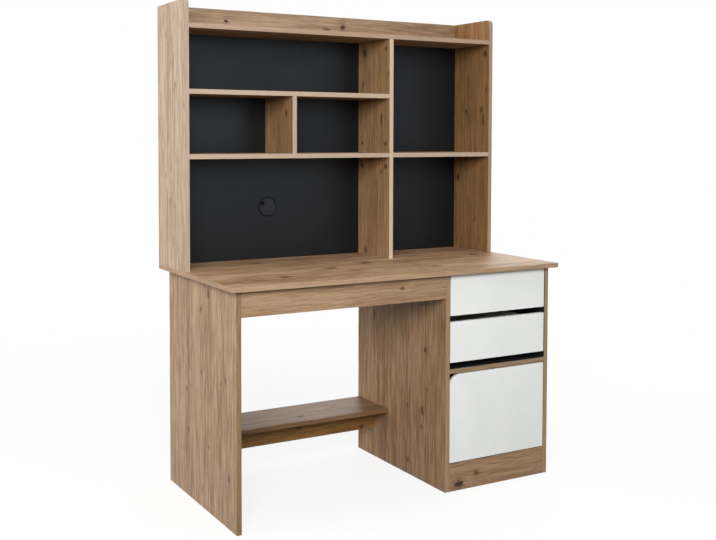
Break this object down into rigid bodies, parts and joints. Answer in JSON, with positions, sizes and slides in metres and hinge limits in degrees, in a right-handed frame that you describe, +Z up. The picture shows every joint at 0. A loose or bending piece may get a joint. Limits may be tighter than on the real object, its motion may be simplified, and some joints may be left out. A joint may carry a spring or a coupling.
{
  "type": "student desk with hutch",
  "caption": "Student desk with an open shelf hutch, a pedestal with finger-gap drawers and a hinged door, a foot shelf, black back boards and a cable grommet.",
  "frame": {"origin": "on the floor below the middle of the desktop", "axes": "+Z up, +X to the right as seen from the front, and the front faces -Y"},
  "size_m": [1.25, 0.65, 1.652],
  "materials": {
    "oak_board": "knotty oak decor, matt",
    "white_board": "white decor, matt",
    "black_board": "black decor, matt",
    "thin_sheet": "thin hardboard, pale",
    "drawer_board": "pale grey decor, matt",
    "slide_steel": "zinc plated",
    "hinge_steel": "nickel plated",
    "cam_zinc": "die-cast zinc",
    "bolt_steel": "zinc plated",
    "beech_dowel": "raw beech",
    "black_plastic": "moulded"
  },
  "bodies": {
    "desk": {"cam_bolts": "bolt_steel", "cam_locks": "cam_zinc", "desk_left_side": "oak_board", "desktop": "oak_board", "dowels": "beech_dowel", "foot_rail": "oak_board", "foot_shelf": "oak_board", "front_apron": "oak_board", "grommet_sleeve": "black_plastic", "hutch_back_left": "black_board", "hutch_back_right": "black_board", "hutch_divider": "oak_board", "hutch_left_side": "oak_board", "hutch_middle_shelf": "oak_board", "hutch_right_shelf": "oak_board", "hutch_right_side": "oak_board", "hutch_short_divider": "oak_board", "hutch_top_rail": "oak_board", "hutch_top_shelf": "oak_board", "hutch_upper_shelf": "oak_board", "lower_hinge_arm": "hinge_steel", "lower_hinge_plate": "hinge_steel", "lower_slide_outer_left": "slide_steel", "lower_slide_outer_right": "slide_steel", "pedestal_back": "thin_sheet", "pedestal_bottom": "oak_board", "pedestal_left_side": "oak_board", "pedestal_mid_shelf": "oak_board", "pedestal_right_side": "oak_board", "plinth": "oak_board", "upper_hinge_arm": "hinge_steel", "upper_hinge_plate": "hinge_steel", "upper_slide_outer_left": "slide_steel", "upper_slide_outer_right": "slide_steel"},
    "upper_drawer": {"upper_drawer_front": "white_board", "upper_drawer_side_left": "drawer_board", "upper_drawer_side_right": "drawer_board", "upper_drawer_back": "drawer_board", "upper_drawer_bottom": "thin_sheet", "upper_slide_inner_left": "slide_steel", "upper_slide_inner_right": "slide_steel"},
    "upper_slide_middles": {"upper_slide_middle_left": "slide_steel", "upper_slide_middle_right": "slide_steel"},
    "lower_drawer": {"lower_drawer_front": "white_board", "lower_drawer_side_left": "drawer_board", "lower_drawer_side_right": "drawer_board", "lower_drawer_back": "drawer_board", "lower_drawer_bottom": "thin_sheet", "lower_slide_inner_left": "slide_steel", "lower_slide_inner_right": "slide_steel"},
    "lower_slide_middles": {"lower_slide_middle_left": "slide_steel", "lower_slide_middle_right": "slide_steel"},
    "door": {"door": "white_board", "upper_hinge_cup": "hinge_steel", "lower_hinge_cup": "hinge_steel"},
    "grommet_cap": {"grommet_cap": "black_plastic"}
  },
  "joints": [
    {"name": "upper_drawer_slide", "type": "slide", "parent": "desk", "child": "upper_drawer", "axis": [0, -1, 0], "range_m": [0, 0.4]},
    {"name": "upper_middles_slide", "type": "slide", "parent": "desk", "child": "upper_slide_middles", "axis": [0, -1, 0], "range_m": [0, 0.2]},
    {"name": "lower_drawer_slide", "type": "slide", "parent": "desk", "child": "lower_drawer", "axis": [0, -1, 0], "range_m": [0, 0.4]},
    {"name": "lower_middles_slide", "type": "slide", "parent": "desk", "child": "lower_slide_middles", "axis": [0, -1, 0], "range_m": [0, 0.2]},
    {"name": "door_hinge", "type": "hinge", "parent": "desk", "child": "door", "pos_m": [0.57, -0.2915, 0.25], "axis": [0, 0, 1], "range_deg": [0, 95]},
    {"name": "grommet_cap_turn", "type": "hinge", "parent": "desk", "child": "grommet_cap", "pos_m": [-0.2245, 0.287, 0.948], "axis": [0, 1, 0], "continuous": true}
  ],
  "couplings": [
    {"joint": "upper_middles_slide", "follows": "upper_drawer_slide", "ratio": 0.5},
    {"joint": "lower_middles_slide", "follows": "lower_drawer_slide", "ratio": 0.5}
  ]
}
